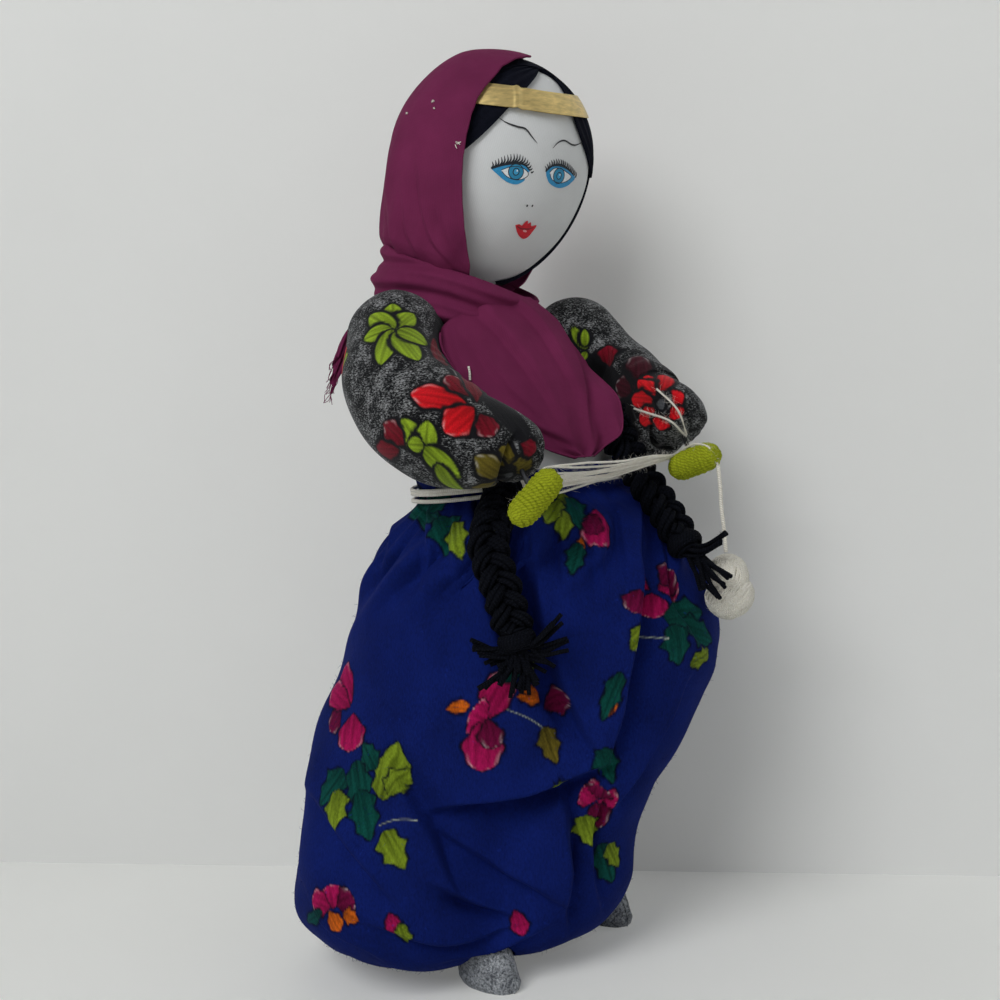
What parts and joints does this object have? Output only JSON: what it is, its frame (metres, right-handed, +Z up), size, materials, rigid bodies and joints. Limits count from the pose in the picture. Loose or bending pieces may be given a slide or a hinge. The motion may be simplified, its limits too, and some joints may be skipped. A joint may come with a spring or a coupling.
{
  "type": "folk rag doll winding yarn",
  "caption": "Standing folk rag doll in a plum headscarf and full flowered trousers, holding a hank of yarn open between yarn-wound hands, with a small ball hanging from one hand.",
  "frame": {"origin": "on the floor under the middle of the doll, leaving out the hanging strand and its ball", "axes": "+Z up, the doll faces -Y and its left hand is on +X"},
  "size_m": [0.1724, 0.1656, 0.3634],
  "materials": {
    "white_cloth": "smooth white cotton over stuffing",
    "black_felt": "black felt",
    "gold_ribbon": "metallised gold film",
    "plum_cloth": "fine plum cloth with a slight sheen",
    "sleeve_print": "grey heather cotton with printed leaves and flowers",
    "lime_yarn": "lime green wool yarn",
    "cream_yarn": "fuzzy cream wool yarn",
    "padding": "wadding",
    "blue_flannel": "napped royal blue flannel with printed roses",
    "black_yarn": "black wool yarn",
    "grey_felt": "grey heather felt",
    "steel_wire": "drawn wire"
  },
  "bodies": {
    "torso": {"torso": "white_cloth", "spine_wire": "steel_wire", "scarf_wrap": "plum_cloth", "scarf_tail": "plum_cloth", "trousers": "blue_flannel", "waist_cord": "cream_yarn", "braid_right": "black_yarn", "braid_left": "black_yarn", "braid_tie_right": "black_yarn", "braid_tie_left": "black_yarn", "tassel_right": "black_yarn", "tassel_left": "black_yarn"},
    "head": {"head": "white_cloth", "hair_back": "black_felt", "hair_lock_right": "black_felt", "hair_lock_left": "black_felt", "headband": "gold_ribbon", "scarf_hood": "plum_cloth"},
    "arm_right": {"sleeve_right": "sleeve_print", "arm_wire_right": "steel_wire", "hand_core_right": "padding", "hand_winding_right": "lime_yarn", "skein": "cream_yarn"},
    "arm_left": {"sleeve_left": "sleeve_print", "arm_wire_left": "steel_wire", "hand_core_left": "padding", "hand_winding_left": "lime_yarn"},
    "yarn_ball": {"yarn_strand": "cream_yarn", "yarn_ball_core": "padding", "yarn_ball_winding": "cream_yarn"},
    "leg_right": {"leg_right": "white_cloth", "leg_wire_right": "steel_wire", "bootie_right": "grey_felt"},
    "leg_left": {"leg_left": "white_cloth", "leg_wire_left": "steel_wire", "bootie_left": "grey_felt"}
  },
  "joints": [
    {"name": "head_turn", "type": "hinge", "parent": "torso", "child": "head", "pos_m": [0.0035, 0.01143, 0.269], "axis": [0.2588, -0.2985, 0.9186], "range_deg": [-25, 25]},
    {"name": "shoulder_right", "type": "hinge", "parent": "torso", "child": "arm_right", "pos_m": [0.011, 0.00243, 0.248], "axis": [-0.9977, 0, 0.068], "range_deg": [0, 35]},
    {"name": "shoulder_left", "type": "hinge", "parent": "torso", "child": "arm_left", "pos_m": [0.011, 0.00243, 0.248], "axis": [-0.9977, 0, 0.068], "range_deg": [0, 35]},
    {"name": "ball_swing", "type": "hinge", "parent": "arm_left", "child": "yarn_ball", "pos_m": [0.05989, -0.07203, 0.19042], "axis": [-0.3, -0.9539, 0], "range_deg": [-2, 35]},
    {"name": "hip_right", "type": "hinge", "parent": "torso", "child": "leg_right", "pos_m": [0.0125, -0.00657, 0.14], "axis": [1, 0, 0], "range_deg": [-8, 8], "deforming": ["trousers"]},
    {"name": "hip_left", "type": "hinge", "parent": "torso", "child": "leg_left", "pos_m": [0.0125, -0.00657, 0.14], "axis": [1, 0, 0], "range_deg": [-8, 8], "deforming": ["trousers"]}
  ],
  "couplings": [
    {"joint": "shoulder_left", "follows": "shoulder_right", "ratio": 1},
    {"joint": "hip_left", "follows": "hip_right", "ratio": 1}
  ]
}
